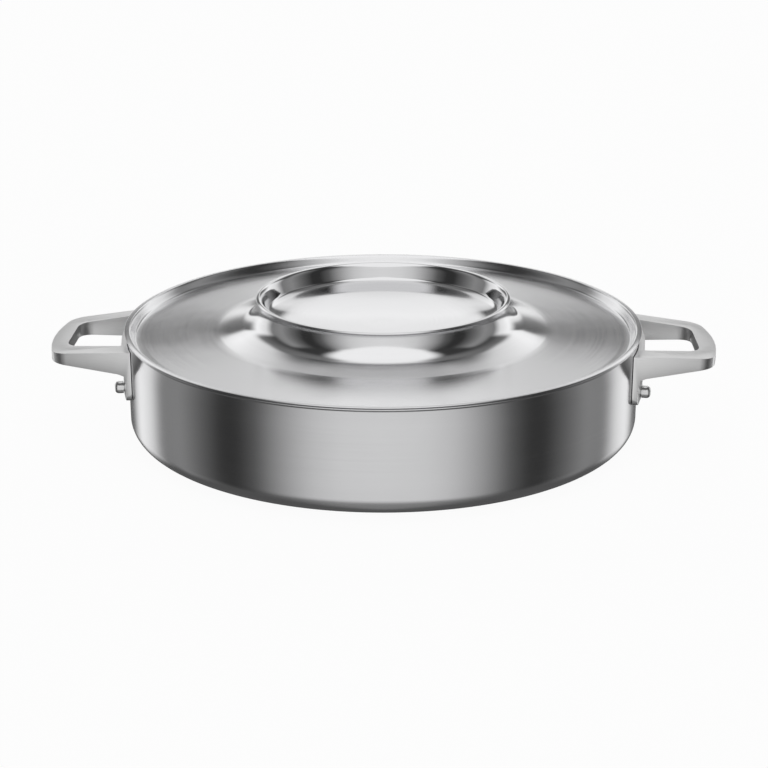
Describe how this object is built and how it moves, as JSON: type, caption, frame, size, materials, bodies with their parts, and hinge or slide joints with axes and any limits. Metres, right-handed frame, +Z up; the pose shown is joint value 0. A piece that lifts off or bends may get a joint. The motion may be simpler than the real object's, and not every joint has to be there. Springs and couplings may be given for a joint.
{
  "type": "saute pan with lid",
  "caption": "Round shallow stainless steel saute pan with loop side handles and a lift-off lid whose raised flared ring with a dished top is the grip.",
  "frame": {"origin": "on the pan's axis at the underside of the base, which stands on the hob", "axes": "+Z up along the pan's axis, +X through the right handle, -Y towards the viewer of the picture"},
  "size_m": [0.3688, 0.2866, 0.0776],
  "materials": {
    "pan_steel": "fine horizontal brushing with a soft sheen",
    "spreader_aluminium": "rolled sheet, bonded and hidden",
    "base_steel": "spun rings",
    "handle_steel": "satin casting with brushed sides",
    "rivet_steel": "polished heads",
    "lid_steel": "polished with a fine spun grain",
    "dish_steel": "polished with a fine spun grain"
  },
  "bodies": {
    "pan": {"pan_body": "pan_steel", "heat_spreader": "spreader_aluminium", "base_cap": "base_steel", "handle_left": "handle_steel", "handle_right": "handle_steel", "rivet_left_front": "rivet_steel", "rivet_left_rear": "rivet_steel", "rivet_right_front": "rivet_steel", "rivet_right_rear": "rivet_steel"},
    "lid": {"lid_shell": "lid_steel", "lid_dish": "dish_steel"}
  },
  "joints": [
    {"name": "lid_lift", "type": "slide", "parent": "pan", "child": "lid", "axis": [0, 0, 1], "range_m": [0, 0.12]}
  ]
}
